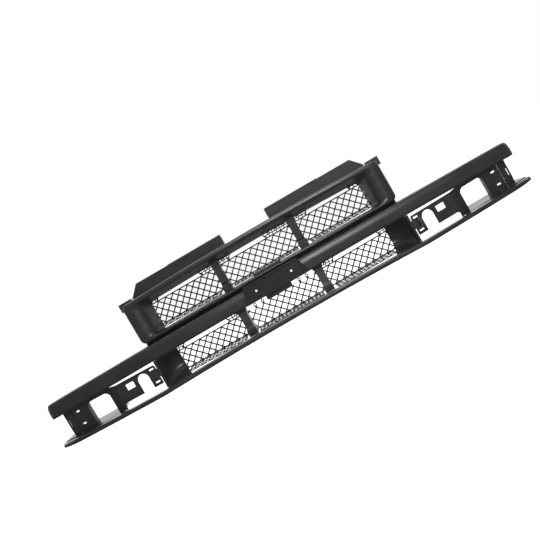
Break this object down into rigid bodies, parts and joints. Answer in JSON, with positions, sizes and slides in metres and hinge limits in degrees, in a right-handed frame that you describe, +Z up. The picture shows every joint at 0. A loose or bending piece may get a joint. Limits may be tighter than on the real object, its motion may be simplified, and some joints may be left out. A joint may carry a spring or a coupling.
{
  "type": "vehicle front grille",
  "caption": "Full-width black grille panel: lattice-filled upper port, bowed bar, lower mouth, lamp carriers and bottom lip.",
  "frame": {"origin": "midway between the two top bolts, on the upper face of the bolt feet", "axes": "+X along the panel's width, -Y towards the front of the vehicle, +Z up"},
  "size_m": [1.56, 0.2205, 0.3154],
  "materials": {
    "moulded_black": "satin, fine moulded grain",
    "insert_black": "satin, slightly rougher than the shell",
    "pad_black": "matt, fine spark texture",
    "seal_rubber": "matt extruded rubber",
    "zinc_screw": "zinc plated"
  },
  "bodies": {
    "root": {"port_surround": "moulded_black", "port_divider_left": "moulded_black", "port_divider_right": "moulded_black", "centre_bar": "moulded_black", "bar_beam": "moulded_black", "lower_divider_left": "moulded_black", "lower_divider_right": "moulded_black", "pillar_left": "moulded_black", "pillar_right": "moulded_black", "bottom_lip": "moulded_black", "shelf_left": "moulded_black", "shelf_right": "moulded_black", "lamp_carrier_left": "moulded_black", "lamp_carrier_right": "moulded_black", "end_flange_left": "moulded_black", "end_flange_right": "moulded_black", "top_flange_left": "moulded_black", "top_flange_right": "moulded_black", "side_tab_left": "moulded_black", "side_tab_right": "moulded_black", "upper_mesh_left": "insert_black", "upper_mesh_centre": "insert_black", "upper_mesh_right": "insert_black", "upper_floor_left": "insert_black", "upper_floor_centre": "insert_black", "upper_floor_right": "insert_black", "upper_clips": "insert_black", "lower_mesh_left": "insert_black", "lower_mesh_centre": "insert_black", "lower_mesh_right": "insert_black", "lower_floor_left": "insert_black", "lower_floor_centre": "insert_black", "lower_floor_right": "insert_black", "lower_clips": "insert_black", "emblem_pad": "pad_black", "flange_seal_left": "seal_rubber", "flange_seal_right": "seal_rubber", "flange_screws": "zinc_screw", "lug_screws": "zinc_screw", "beam_screws": "zinc_screw", "bar_screws": "zinc_screw", "carrier_screws": "zinc_screw", "shelf_screws": "zinc_screw"}
  },
  "joints": []
}
